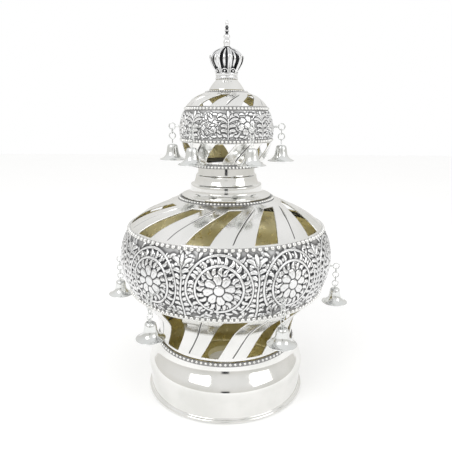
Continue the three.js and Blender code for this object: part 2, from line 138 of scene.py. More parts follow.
# bead rows: name: (ridge line, (radius, z, size, count) of the beads, how far they look up in degrees)
RIDGES = {
    "drum_bead_row": (
        [(76.6, 58.2), (78.1, 58.2), (78.2, 59), (77.6, 60.6), (78, 62), (76.6, 62.4)],
        (77.2, 60.5, 1.75, 96), 0,
    ),
    "band_lower_beads": (
        [(104.2, 121.2), (105.6, 121.4), (106, 122.6), (106.2, 123.8), (105.8, 124.8), (104.4, 124.8)],
        (105.9, 123.1, 2.3, 124), -20,
    ),
    "band_upper_beads": (
        [(104.4, 188.6), (105.8, 188.8), (106, 190), (105.6, 191.4), (105.2, 192.2), (103.8, 192)],
        (105.4, 190.3, 2.5, 106), 28,
    ),
    "dome_top_beads": (
        [(51.4, 219.6), (52.6, 220.6), (51.6, 221.6), (49.8, 222.6), (46.6, 223), (46.6, 221.8)],
        (50.6, 221.5, 1.5, 84), 50,
    ),
    "globe_foot_beads": (
        [(33.2, 255.3), (38.6, 255.3), (39.4, 256), (39.2, 257), (38.2, 258.6), (38.4, 259.6),
         (36.8, 259.4), (33.2, 256.6)],
        (38.7, 256.9, 1.45, 66), 0,
    ),
    "globe_lower_beads": (
        [(46.8, 280.6), (48, 280.9), (48.4, 281.8), (48.6, 283.8), (48.2, 285), (46.8, 285)],
        (48.1, 282.9, 1.7, 78), 0,
    ),
    "globe_upper_beads": (
        [(42.6, 312.2), (43.9, 312.4), (43.8, 314), (43.2, 315.6), (42.6, 316.8), (41.4, 316.4)],
        (43.1, 314.5, 1.7, 70), 25,
    ),
    "globe_top_beads": (
        [(22.4, 330), (23, 330.8), (21.6, 331.8), (20, 332.6), (18, 332.6), (18, 331.4)],
        (21.2, 331.5, 1.0, 56), 50,
    ),
}


# ---------------------------------------------------------------- geometry helpers
def curve_through(points, steps=6):
    """A smooth line through the points, Catmull-Rom, as an array."""
    p = np.array(points, float)
    ends = np.vstack([2 * p[0] - p[1], p, 2 * p[-1] - p[-2]])
    t = np.linspace(0, 1, steps, endpoint=False)[:, None]
    parts = []
    for a, b, c, d in zip(ends[:-3], ends[1:-2], ends[2:-1], ends[3:]):
        square, cube = 2 * a - 5 * b + 4 * c - d, 3 * b - a - 3 * c + d
        parts.append(0.5 * (2 * b + (c - a) * t + square * t**2 + cube * t**3))
    return np.vstack(parts + [p[-1:]])


def outward(line):
    """Unit normals of a (radius, z) line, pointing away from the axis when z goes up."""
    d = np.gradient(line, axis=0)
    n = np.stack([d[:, 1], -d[:, 0]], 1)
    return n / np.linalg.norm(n, axis=1, keepdims=True)


def at(radius, z, phi):
    """Points in millimetres for radius, height and angle in degrees from -Y towards +X."""
    a = np.radians(phi)
    radius, z, a = np.broadcast_arrays(radius, z, a)
    return np.stack([radius * np.sin(a), -radius * np.cos(a), z], -1)


def sideways(phi):
    """The unit direction round the axis at an angle in degrees."""
    return np.array([math.cos(math.radians(phi)), math.sin(math.radians(phi)), 0])


class Form:
    """Vertices, faces and an optional value per vertex, gathered into one mesh."""

    def __init__(self):
        self.points, self.faces, self.tone, self.slots, self.count = [], [], [], [], 0

    def add(self, points, faces, tone=1.0, slot=0):
        points = np.asarray(points, float).reshape(-1, 3)
        self.points.append(points)
        tone = np.asarray(tone, float).ravel() if np.ndim(tone) else tone
        self.tone.append(np.broadcast_to(tone, len(points)))
        for block in faces if isinstance(faces, list) else [faces]:
            self.faces.append((np.asarray(block) + self.count, slot))
        self.count += len(points)
        return self

    def grid(self, points, close=False, tone=1.0, keep=None, flip=False, slot=0):
        """points[row, column]; close joins the last column to the first; keep marks the cells that exist."""
        rows, columns = points.shape[:2]
        index = np.arange(rows * columns).reshape(rows, columns)
        right = np.roll(index, -1, 1) if close else index[:, 1:]
        left = index if close else index[:, :-1]
        quads = np.stack([left[:-1], right[:-1], right[1:], left[1:]], -1)
        quads = quads[keep] if keep is not None else quads.reshape(-1, 4)
        return self.add(points, quads[:, ::-1] if flip else quads, tone, slot)

    def object(self, name, materials, nodes=(), smooth=35):
        points = np.vstack(self.points) * MM
        mesh = bpy.data.meshes.new(name)
        sizes = np.concatenate([np.full(len(f), f.shape[1]) for f, _ in self.faces])
        loops = np.concatenate([f.ravel() for f, _ in self.faces])
        mesh.vertices.add(len(points))
        mesh.vertices.foreach_set("co", points.ravel())
        mesh.loops.add(len(loops))
        mesh.loops.foreach_set("vertex_index", loops.astype(np.int32))
        mesh.polygons.add(len(sizes))
        mesh.polygons.foreach_set("loop_start", np.concatenate([[0], np.cumsum(sizes)[:-1]]).astype(np.int32))
        mesh.update(calc_edges=True)
        mesh.validate()
        layer = mesh.attributes.new("chasing", "FLOAT", "POINT")
        layer.data.foreach_set("value", np.concatenate(self.tone).astype(np.float32))
        for material in materials:
            mesh.materials.append(material)
        which = np.concatenate([np.full(len(f), s) for f, s in self.faces])
        mesh.polygons.foreach_set("material_index", which.astype(np.int32))
        mesh.polygons.foreach_set("use_smooth", np.ones(len(sizes), bool))
        mesh.set_sharp_from_angle(angle=math.radians(smooth))
        piece = bpy.data.objects.new(name, mesh)
        bpy.context.collection.objects.link(piece)
        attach(piece, "root")
        if nodes:
            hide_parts(*nodes)
        return piece


def turned(form, line, segments=128, slot=0, tone=1.0):
    """A closed (radius, z) loop turned about the axis."""
    line = np.asarray(line, float)
    phi = np.arange(segments) * 360 / segments
    form.grid(at(line[:, :1], line[:, 1:], phi[None]), close=True, slot=slot, tone=tone)
    return form


def bead(form, centre, radius, out, tone=1.0, rings=5, around=8):
    """A round bead: rings of points about an axis pointing out of the surface."""
    out = np.asarray(out, float)
    side = np.cross(out, [0, 0, 1.0])
    side /= np.linalg.norm(side)
    up = np.cross(side, out)
    polar = np.linspace(0, math.pi * 0.62, rings + 1)[1:]
    turn = np.arange(around) * 2 * math.pi / around
    top = np.asarray(centre) + radius * out
    spoke = np.cos(turn)[None, :, None] * side + np.sin(turn)[None, :, None] * up
    ring = np.cos(polar)[:, None, None] * out + np.sin(polar)[:, None, None] * spoke
    points = np.asarray(centre) + radius * ring
    index = np.arange(rings * around).reshape(rings, around) + 1
    fan = np.stack([np.zeros(around, int), index[0], np.roll(index[0], -1)], 1)
    right = np.roll(index, -1, 1)
    quads = np.stack([index[:-1], index[1:], right[1:], right[:-1]], -1).reshape(-1, 4)
    form.add(np.vstack([top[None], points.reshape(-1, 3)]), [fan, quads], tone)


def bead_row(form, radius, z, size, count, lean=0.0, phase=0.0):
    """A row of beads round the axis; lean is how far each one looks up, in degrees."""
    for k in range(count):
        phi = phase + 360 * k / count
        level, rise = math.cos(math.radians(lean)), math.sin(math.radians(lean))
        out = at(level, rise, phi)
        bead(form, at(radius, z, phi), size, out)


def torus(form, centre, radius, wire, normal, around=28, section=8, squash=1.0):
    """A wire ring about a normal; squash flattens it along Z."""
    normal = np.asarray(normal, float) / np.linalg.norm(normal)
    first = np.cross(normal, [0, 0, 1.0])
    if np.linalg.norm(first) < 1e-6:
        first = np.array([1.0, 0, 0])
    first /= np.linalg.norm(first)
    second = np.cross(normal, first)
    a = np.arange(around) * 2 * math.pi / around
    b = np.arange(section) * 2 * math.pi / section
    spoke = np.cos(a)[:, None] * first + squash * np.sin(a)[:, None] * second
    points = (
        np.asarray(centre) + radius * spoke[:, None, :]
        + wire * (np.cos(b)[None, :, None] * spoke[:, None, :] + np.sin(b)[None, :, None] * normal)
    )
    index = np.arange(around * section).reshape(around, section)
    down, right = np.roll(index, -1, 0), np.roll(index, -1, 1)
    quads = np.stack([index, down, np.roll(down, -1, 1), right], -1).reshape(-1, 4)
    form.add(points, quads[:, ::-1])


def swept(form, path, across, wide, thick, section=10, tone=1.0):
    """An oval section swept along a path; across is the direction of its width at each point."""
    path, across = np.asarray(path, float), np.asarray(across, float)
    along = np.gradient(path, axis=0)
    along /= np.linalg.norm(along, axis=1, keepdims=True)
    deep = np.cross(along, across)
    deep /= np.linalg.norm(deep, axis=1, keepdims=True)
    turn = np.arange(section) * 2 * math.pi / section
    wide, thick = np.broadcast_to(wide, len(path)), np.broadcast_to(thick, len(path))
    ring = (
        path[:, None, :]
        + (wide[:, None] * np.cos(turn))[..., None] * across[:, None, :]
        + (thick[:, None] * np.sin(turn))[..., None] * deep[:, None, :]
    )
    form.grid(ring, close=True, tone=tone)
    index = form.count - len(path) * section
    ends = [np.arange(section)[::-1] + index, np.arange(section) + index + (len(path) - 1) * section]
    for cap in ends:
        form.faces.append((cap[None, :], 0))


# ---------------------------------------------------------------- chased relief
class Chasing:
    """Heights over a band, in millimetres, drawn with leaves, rings and flowers. u runs round, v up."""

    def __init__(self, around, tall, cell=0.3):
        self.around, self.tall, self.cell = around, tall, cell
        self.nu, self.nv = int(round(around / cell)), int(round(tall / cell)) + 1
        self.height = np.zeros((self.nv, self.nu))

    def patch(self, low, high, margin):
        """Indices and coordinates of the cells near a box; u wraps round the band."""
        i0, i1 = math.floor((low[0] - margin) / self.cell), math.ceil((high[0] + margin) / self.cell)
        j0 = max(0, math.floor((low[1] - margin + self.tall / 2) / self.cell))
        j1 = min(self.nv - 1, math.ceil((high[1] + margin + self.tall / 2) / self.cell))
        i, j = np.arange(i0, i1 + 1), np.arange(j0, j1 + 1)
        u, v = np.meshgrid(i * self.cell, j * self.cell - self.tall / 2)
        return np.ix_(j, i % self.nu), u, v

    def stroke(self, points, widths, crown=0.75, base=0.45, vein=0.0, gap=0.55):
        """A rounded stroke along a line with a cut outline; vein sinks its middle."""
        points, widths = np.asarray(points, float), np.asarray(widths, float)
        where, u, v = self.patch(points.min(0), points.max(0), widths.max() + gap + 0.5)
        if u.size == 0:
            return
        best = np.full(u.shape, 1e9)
        level = np.zeros(u.shape)
        lengths = np.linalg.norm(np.diff(points, axis=0), axis=1)
        for a, b, wa, wb, length in zip(points[:-1], points[1:], widths[:-1], widths[1:], lengths):
            dot = (u - a[0]) * (b[0] - a[0]) + (v - a[1]) * (b[1] - a[1])
            t = np.clip(dot / max(length**2, 1e-9), 0, 1)
            away = np.hypot(u - a[0] - t * (b[0] - a[0]), v - a[1] - t * (b[1] - a[1]))
            width = wa + t * (wb - wa)
            edge = away - width
            closer = edge < best
            best = np.where(closer, edge, best)
            level = np.where(closer, away / np.maximum(width, 0.05), level)
        shape = base + crown * np.sqrt(np.clip(1 - level**2, 0, 1))
        if vein:
            shape = shape - vein * np.exp(-((level * widths.max() / 0.42) ** 2))
        old = self.height[where]
        cut = np.where(best < gap, np.minimum(old, 0.02), old)
        self.height[where] = np.where(best < 0, shape, cut)

    def disc(self, centre, radius, base=0.9, crown=0.5, gap=0.7, stipple=0.0):
        centre = np.asarray(centre, float)
        where, u, v = self.patch(centre, centre, radius + gap + 0.5)
        away = np.hypot(u - centre[0], v - centre[1])
        shape = base + crown * np.sqrt(np.clip(1 - (away / radius) ** 2, 0, 1))
        if stipple:
            shape = shape - stipple * np.clip(np.sin(u * 5.2) * np.sin(v * 5.2), 0, 1)
        old = self.height[where]
        cut = np.where(away < radius + gap, 0.0, old)
        self.height[where] = np.where(away < radius, shape, cut)


def curl(start, heading, length, bend, steps=9):
    """A line from start whose heading turns by bend degrees over its length, faster towards its tip."""
    t = np.linspace(0, 1, steps)
    angle = np.radians(heading + bend * t**1.6)
    step = length / (steps - 1)
    points = np.cumsum(np.stack([np.cos(angle), np.sin(angle)], 1) * step, axis=0)
    return np.asarray(start, float) + points - points[0]


def leaf(chasing, start, heading, length, bend, width, vein=0.3, crown=0.75):
    """A chased leaf: narrow at its stalk, full past its middle, curling to a blunt tip."""
    line = curl(start, heading, length, bend)
    t = np.linspace(0, 1, len(line))
    widths = width * (0.28 + 0.95 * np.sin(np.pi * np.clip(t, 0, 1) ** 1.25 * 0.86))
    chasing.stroke(line, widths, crown=crown, vein=vein)


def flower(chasing, centre, petals, reach, boss, width, turn=0.0):
    """Notched petals round a stippled boss."""
    centre = np.asarray(centre, float)
    for k in range(petals):
        angle = turn + 2 * math.pi * k / petals
        way = np.array([math.cos(angle), math.sin(angle)])
        line = np.linspace(centre + boss * 0.9 * way, centre + (reach - width) * way, 5)
        widths = width * np.array([0.4, 0.62, 0.84, 1, 0.92])
        chasing.stroke(line, widths, crown=0.5, base=0.5, vein=0.3, gap=0.7)
        notch = centre + np.array([[reach - 1.1], [reach + 0.6]]) * way
        chasing.stroke(notch, np.array([0.2, 0.6]), crown=-0.3, base=0.1, gap=0.1)
    chasing.disc(centre, boss, stipple=0.35)


def circle(centre, radius, start, sweep, steps=40):
    a = np.radians(start + np.linspace(0, sweep, steps))
    return np.stack([centre[0] + radius * np.cos(a), centre[1] + radius * np.sin(a)], 1)


def bulb_chasing():
    """Ten flowers in scroll rings, with arching stems and leaf sprays filling the ground between them."""
    widest = max(r for r, _ in BAND)
    tall = BAND[-1][1] - BAND[0][1]
    chasing = Chasing(2 * math.pi * widest, tall, 0.3)
    pitch = chasing.around / BULB_SECTORS
    centres = [np.array([pitch * k + math.radians(-3) * widest, -1.0]) for k in range(BULB_SECTORS)]
    for centre in centres:
        ground_leaves(chasing, centre, pitch)
    for centre in centres:
        side = centre + [pitch / 2, 0]
        for v in np.linspace(-30, 24, 11):
            for s in (-1, 1):
                bend = -s * (60 + 40 * RNG.random())
                leaf(chasing, side + [0, v], 90 - s * 34, 9.5 - 0.08 * abs(v), bend, 1.55)
        for s in (-1, 1):
            leaf(chasing, side + [s * 0.6, 18], 90 - s * 16, 13, -s * 70, 1.7)
        leaf(chasing, side + [0, 19], 90, 11, 6, 1.8)
        stem = np.array([[0.6 * math.sin(v / 5), v] for v in np.linspace(-31, 20, 14)]) + side
        chasing.stroke(stem, np.linspace(1.3, 0.6, 14), crown=0.5, base=0.6)
    for centre in centres:
        for a in np.arange(-40, 236, 15):
            foot = centre + 30.5 * np.array([math.cos(math.radians(a)), math.sin(math.radians(a))])
            leaf(chasing, foot, a + 180 + 48, 7.2 + 1.5 * RNG.random(), -80 - 30 * RNG.random(), 1.3)
        chasing.stroke(circle(centre, 31, -48, 262, 60), np.linspace(0.7, 1.1, 60), crown=0.5, base=0.65)
        for a in np.arange(8, 368, 18):
            foot = centre + 21.6 * np.array([math.cos(math.radians(a)), math.sin(math.radians(a))])
            leaf(chasing, foot, a + 180 - 50, 8.2 + 1.6 * RNG.random(), 85 + 30 * RNG.random(), 1.45)
        chasing.stroke(circle(centre, 22.2, -100, 352, 60), np.linspace(1.15, 0.9, 60), crown=0.5, base=0.65)
        flower(chasing, centre, 8, 15.4, 4.8, 4.0, turn=0.15)
    return chasing


def ground_leaves(chasing, centre, pitch, step=5.3):
    """Small curled leaves scattered evenly over one sector's ground, from edge to edge of the band."""
    reach = chasing.tall / 2 - 1
    for u in np.arange(-pitch / 2, pitch / 2, step):
        for v in np.arange(-reach, reach, step):
            foot = centre + [u + 0.45 * step * RNG.random(), v + 0.45 * step * RNG.random()]
            heading = 360 * RNG.random()
            bend = 150 * (RNG.random() - 0.5)
            leaf(chasing, foot, heading, 1.3 * step, bend, 0.235 * step, crown=0.55)


def globe_chasing():
    """Eight flowers with leaf sprays between them."""
    widest = max(r for r, _ in GLOBE_BAND)
    tall = GLOBE_BAND[-1][1] - GLOBE_BAND[0][1]
    chasing = Chasing(2 * math.pi * widest, tall, 0.2)
    pitch = chasing.around / 8
    for k in range(8):
        centre = np.array([pitch * k + math.radians(-20.5) * widest, 0.0])
        side = centre + [pitch / 2, 0]
        ground_leaves(chasing, centre + [pitch / 2, 0], pitch, step=3.8)
        for v in (-12, -7.5, -3, 1.5):
            for s in (-1, 1):
                leaf(chasing, side + [0, v], 90 - s * 34, 7.6, -s * 80, 1.25, vein=0.25)
        for s in (-1, 1):
            leaf(chasing, side + [s * 0.5, 5], 90 - s * 22, 9.5, -s * 95, 1.3, vein=0.25)
            leaf(chasing, side + [s * 0.5, 2], 90 - s * 40, 10.5, -s * 60, 1.2, vein=0.25)
        leaf(chasing, side + [0, 6], 90, 7.5, 0, 1.4, vein=0.25)
        stem = np.array([[0, v] for v in np.linspace(-14, 6, 6)]) + side
        chasing.stroke(stem, np.full(6, 0.6), crown=0.4, base=0.6, gap=0.4)
        for s in (-1, 1):
            for sy in (-1, 1):
                hand = s * sy
                leaf(chasing, centre + [s * 8, sy * 7], 90 * sy - hand * 20, 6.5, -hand * 90, 1.15, vein=0.2)
                leaf(chasing, centre + [s * 2, sy * 9.6], 90 * sy - hand * 60, 6, -hand * 60, 1.0, vein=0.2)
        flower(chasing, centre, 6, 9.8, 3.1, 3.1, turn=0.3)
    return chasing


def blurred(height, passes=1):
    for _ in range(passes):
        padded = np.pad(height, ((1, 1), (0, 0)), mode="edge")
        height = (padded[:-2] + 2 * padded[1:-1] + padded[2:]) / 4
        height = (np.roll(height, 1, 1) + 2 * height + np.roll(height, -1, 1)) / 4
    return height


def chased_band(name, profile, chasing, columns, rows, nodes):
    """The band's sheet: chased outside, plain inside."""
    height = blurred(chasing.height, 1)
    line = curve_through(profile, 24)
    run = np.concatenate([[0], np.cumsum(np.linalg.norm(np.diff(line, axis=0), axis=1))])
    want = np.linspace(0, run[-1], rows)
    line = np.stack([np.interp(want, run, line[:, 0]), np.interp(want, run, line[:, 1])], 1)
    out = outward(line)
    u = np.arange(columns) / columns * chasing.nu
    v = (line[:, 1] - profile[0][1]) / (profile[-1][1] - profile[0][1]) * (chasing.nv - 1)
    i0, j0 = np.floor(u).astype(int), np.clip(np.floor(v).astype(int), 0, chasing.nv - 2)
    fu, fv = (u - i0)[None, :], (v - j0)[:, None]
    i1 = (i0 + 1) % chasing.nu
    h = (
        height[np.ix_(j0, i0)] * (1 - fu) * (1 - fv) + height[np.ix_(j0, i1)] * fu * (1 - fv)
        + height[np.ix_(j0 + 1, i0)] * (1 - fu) * fv + height[np.ix_(j0 + 1, i1)] * fu * fv
    )
    fade = np.clip(np.minimum(np.arange(rows), np.arange(rows)[::-1]) / 2, 0, 1)[:, None]
    h = h * fade
    phi = np.arange(columns) * 360 / columns
    lift = h * RELIEF / 1.3
    points = at(line[:, :1] + lift * out[:, :1], line[:, 1:] + lift * out[:, 1:], phi[None])
    form = Form()
    hollow = h - blurred(h, 9)
    tone = np.clip(0.5 + 0.85 * hollow + 0.16 * (h - 0.6), 0, 1)
    form.grid(points, close=True, tone=tone)
    inside = (line - WALL * out)[:: max(1, rows // 14)]
    coarse = np.arange(96) * 360 / 96
    form.grid(at(inside[:, :1], inside[:, 1:], coarse[None]), close=True, flip=True, slot=1)
    return form.object(name, [CHASED, GILT], nodes, smooth=70)


# ---------------------------------------------------------------- pierced walls
def pierced_wall(name, profile, window, swirl, sectors, nodes, rows_per=6, strip=20, across=8):
    """A spun sheet with swirled windows and an engraved line on each strip between them."""
    line = curve_through(profile, rows_per)
    levels = line[:, 1]
    z = np.sort(np.unique(np.round(np.concatenate([levels, [window["low"], window["high"]]]), 3)))
    line = np.stack([np.interp(z, levels, line[:, 0]), z], 1)
    out = outward(line)
    sweep = curve_through(swirl, 8)
    centre = np.interp(z, sweep[:, 0], sweep[:, 1])
    pitch, half = 360 / sectors, window["half"]
    over_window = np.linspace(-half, half, across, endpoint=False)
    over_strip = np.linspace(half, pitch - half, strip * 2 + 1)[:-1]
    share = np.concatenate([over_window, over_strip])
    offset = share[None, :, None] + pitch * np.arange(sectors)[None, None, :]
    phi = centre[:, None, None] + offset
    middle = (share - pitch / 2)[None, :] * np.pi / 180 * line[:, :1]
    fade = np.clip(np.minimum(z - window["low"], window["high"] - z) / 2.5, 0, 1)[:, None]
    groove = -0.75 * np.exp(-((middle / 0.62) ** 2)) * fade
    lip = 0.25 * np.exp(-(((np.abs(middle) - 1.5) / 0.7) ** 2)) * fade
    lift = (groove + lip)[..., None]
    tone = 1 - np.clip(-groove / 0.45, 0, 1)
    radius = line[:, 0][:, None, None] + lift * out[:, 0][:, None, None]
    height = z[:, None, None] + lift * out[:, 1][:, None, None]
    points = at(radius, height, phi).transpose(0, 2, 1, 3).reshape(len(z), -1, 3)
    tone = np.broadcast_to(tone[..., None], phi.shape).transpose(0, 2, 1).reshape(len(z), -1)
    rows_open = (z[:-1] >= window["low"] - 1e-6) & (z[1:] <= window["high"] + 1e-6)
    columns_open = np.tile(np.arange(len(share)) < across, sectors)
    keep = ~(rows_open[:, None] & columns_open[None, :])
    form = Form()
    form.grid(points, close=True, tone=tone, keep=keep)
    piece = form.object(name, [PLAIN, GILT], nodes, smooth=40)
    solid = piece.modifiers.new("sheet", "SOLIDIFY")
    solid.thickness = WALL * MM
    solid.offset = -1
    solid.material_offset = 1
    solid.material_offset_rim = 0
    return piece


# ---------------------------------------------------------------- materials
def node_tree(name):
    material = bpy.data.materials.new(name)
    material.use_nodes = True
    tree = material.node_tree
    return material, tree, tree.nodes["Principled BSDF"]


def add_node(tree, kind, **values):
    node = tree.nodes.new(kind)
    for key, value in values.items():
        if hasattr(node, key):
            setattr(node, key, value)
        else:
            node.inputs[key.replace("_", " ")].default_value = value
    return node


def surface_noise(tree, scale, detail=3.0):
    where = add_node(tree, "ShaderNodeTexCoord")
    noise = add_node(tree, "ShaderNodeTexNoise")
    noise.inputs["Scale"].default_value = scale
    noise.inputs["Detail"].default_value = detail
    tree.links.new(where.outputs["Object"], noise.inputs["Vector"])
    return noise


def ramp(tree, source, low, high, a, b):
    """a below low, b above high, smooth between, of a value socket."""
    node = add_node(tree, "ShaderNodeMapRange", interpolation_type="SMOOTHSTEP")
    node.inputs["From Min"].default_value = low
    node.inputs["From Max"].default_value = high
    node.inputs["To Min"].default_value = a
    node.inputs["To Max"].default_value = b
    tree.links.new(source, node.inputs["Value"])
    return node.outputs["Result"]


def mixed(tree, factor, first, second):
    node = add_node(tree, "ShaderNodeMix", data_type="RGBA")
    tree.links.new(factor, node.inputs["Factor"])
    for socket, colour in ((6, first), (7, second)):
        if isinstance(colour, tuple):
            node.inputs[socket].default_value = (*colour, 1)
        else:
            tree.links.new(colour, node.inputs[socket])
    return node.outputs[2]


def silver(name, bright, dark, rough, oxide=None, wave=0.0):
    """Polished silver with faint waviness and fine wear; oxide darkens what lies below that chasing value."""
    material, tree, shader = node_tree(name)
    cloud = surface_noise(tree, 26)
    colour = mixed(tree, ramp(tree, cloud.outputs["Fac"], 0.35, 0.65, 0, 1), dark, bright)
    gloss = ramp(tree, surface_noise(tree, 160, 5).outputs["Fac"], 0.35, 0.7, rough * 0.75, rough * 1.3)
    if oxide:
        value = add_node(tree, "ShaderNodeAttribute", attribute_name="chasing").outputs["Fac"]
        clear = ramp(tree, value, oxide[0], oxide[1], 0, 1)
        colour = mixed(tree, clear, oxide[2], colour)
        if len(oxide) > 3:
            colour = mixed(tree, ramp(tree, value, 0.02, oxide[0] + 0.1, 0, 1), oxide[3], colour)
        lift = add_node(tree, "ShaderNodeMix")
        tree.links.new(clear, lift.inputs["Factor"])
        lift.inputs[2].default_value = 0.5
        tree.links.new(gloss, lift.inputs[3])
        gloss = lift.outputs[0]
    tree.links.new(colour, shader.inputs["Base Color"])
    tree.links.new(gloss, shader.inputs["Roughness"])
    shader.inputs["Metallic"].default_value = 1
    if wave:
        bump = add_node(tree, "ShaderNodeBump", Strength=wave, Distance=0.0004)
        tree.links.new(surface_noise(tree, 38, 2).outputs["Fac"], bump.inputs["Height"])
        fine = add_node(tree, "ShaderNodeBump", Strength=0.05, Distance=0.0001)
        tree.links.new(surface_noise(tree, 900, 4).outputs["Fac"], fine.inputs["Height"])
        tree.links.new(bump.outputs["Normal"], fine.inputs["Normal"])
        tree.links.new(fine.outputs["Normal"], shader.inputs["Normal"])
    return material


OXIDE = (0.035, 0.036, 0.04)
POLISHED = silver("polished_silver", (0.85, 0.845, 0.825), (0.77, 0.77, 0.745), 0.1, wave=0.08)
PLAIN = silver(
    "pierced_silver", (0.88, 0.875, 0.86), (0.81, 0.81, 0.79), 0.16,
    oxide=(0.2, 0.8, (0.12, 0.12, 0.12)), wave=0.1,
)
CHASED = silver(
    "chased_silver", (0.86, 0.86, 0.86), (0.76, 0.765, 0.77), 0.22,
    oxide=(0.26, 0.62, (0.2, 0.2, 0.2), OXIDE), wave=0.2,
)
BEADED = silver(
    "beaded_silver", (0.87, 0.865, 0.85), (0.78, 0.78, 0.76), 0.16,
    oxide=(0.2, 0.8, (0.3, 0.3, 0.3)), wave=0.1,
)
# bells and chains: the same silver made darker, painted shade so they read grey
BELL = silver("bell_silver", (0.8, 0.81, 0.8), (0.7, 0.71, 0.7), 0.16, wave=0.1)
GILT = silver("gilt_interior", (0.93, 0.86, 0.57), (0.82, 0.75, 0.47), 0.34, wave=0.3)


# ---------------------------------------------------------------- spun pieces
def spun(name, outside, inside, nodes, segments=160, steps=5):
    """A spun sheet from its outside line going up and its inside line going up."""
    form = Form()
    out = curve_through(outside, steps)
    out[:, 1] = np.maximum(out[:, 1], outside[0][1])
    turned(form, out, segments)
    within = np.vstack([[out[-1]], np.asarray(inside, float)[::-1], [out[0]]])
    turned(form, within, 96, slot=1)
    return form.object(name, [POLISHED, GILT], nodes, smooth=32)


def ridge(name, line, beads, lean):
    """A narrow dark ridge carrying a row of bright beads. beads: radius, z, size, count."""
    form = Form()
    turned(form, line, 160, tone=0.0)
    bead_row(form, *beads, lean=lean)
    return form.object(name, [BEADED], smooth=50)


for ridge_name, (ridge_line, beads, lean) in RIDGES.items():
    ridge(ridge_name, ridge_line, beads, lean)

spun("drum_wall", DRUM, DRUM_INSIDE, ["base_drum"])

pierced_wall("bulb_lower_wall", LOWER, LOWER_WINDOW, LOWER_SWIRL, BULB_SECTORS, ["bulb"])
pierced_wall("bulb_dome_wall", DOME, DOME_WINDOW, DOME_SWIRL, BULB_SECTORS, ["bulb"])
chased_band("bulb_band", BAND, bulb_chasing(), *BAND_MESH, ["bulb"])

spun("neck_wall", NECK, NECK_INSIDE, ["neck"])

pierced_wall(
    "globe_lower_wall", GLOBE_LOWER, GLOBE_LOWER_WINDOW, GLOBE_LOWER_SWIRL, GLOBE_SECTORS, ["globe"],
    rows_per=5,
)
pierced_wall(
    "globe_dome_wall", GLOBE_DOME, GLOBE_DOME_WINDOW, GLOBE_DOME_SWIRL, GLOBE_SECTORS, ["globe"],
    rows_per=5,
)
chased_band("globe_band", GLOBE_BAND, globe_chasing(), *GLOBE_BAND_MESH, ["globe"])

spun("globe_cone", COLLAR, CONE_INSIDE, ["globe_collar"])


# ---------------------------------------------------------------- stave plate
def stave_plate():
    """The disc inside the base with its two stave collars."""
    form = Form()
    around, rings = 96, 64
    phi = np.linspace(0, 360, around, endpoint=False)
    for z, flip in ((2.6, False), (1.2, True)):
        size = 82.9
        xs = np.linspace(-size, size, 2 * rings + 1)
        x, y = np.meshgrid(xs, xs)
        reach = np.hypot(x, y)
        square = np.maximum(np.abs(x), np.abs(y))
        scale = np.where(reach > 1e-9, square / np.maximum(reach, 1e-9), 1)
        x, y = x * scale, y * scale
        centre = (x[:-1, :-1] + x[1:, 1:]) / 2, (y[:-1, :-1] + y[1:, 1:]) / 2
        keep = np.minimum(np.hypot(centre[0], centre[1] - 40), np.hypot(centre[0], centre[1] + 40)) > 23.2
        form.grid(np.stack([x, y, np.full_like(x, z)], -1), keep=keep, flip=flip)
    rim = np.array([(82.9, 1.2), (83, 1.9), (82.9, 2.6)])
    turned(form, rim, 96)
    collar = np.array(STAVE_COLLAR)
    for y in (-40, 40):
        ring = at(collar[:, :1], collar[:, 1:], phi[None]) + [0, y, 0]
        form.grid(ring, close=True)
    return form.object("stave_plate_disc", [GILT], ["stave_plate"], smooth=40)


stave_plate()


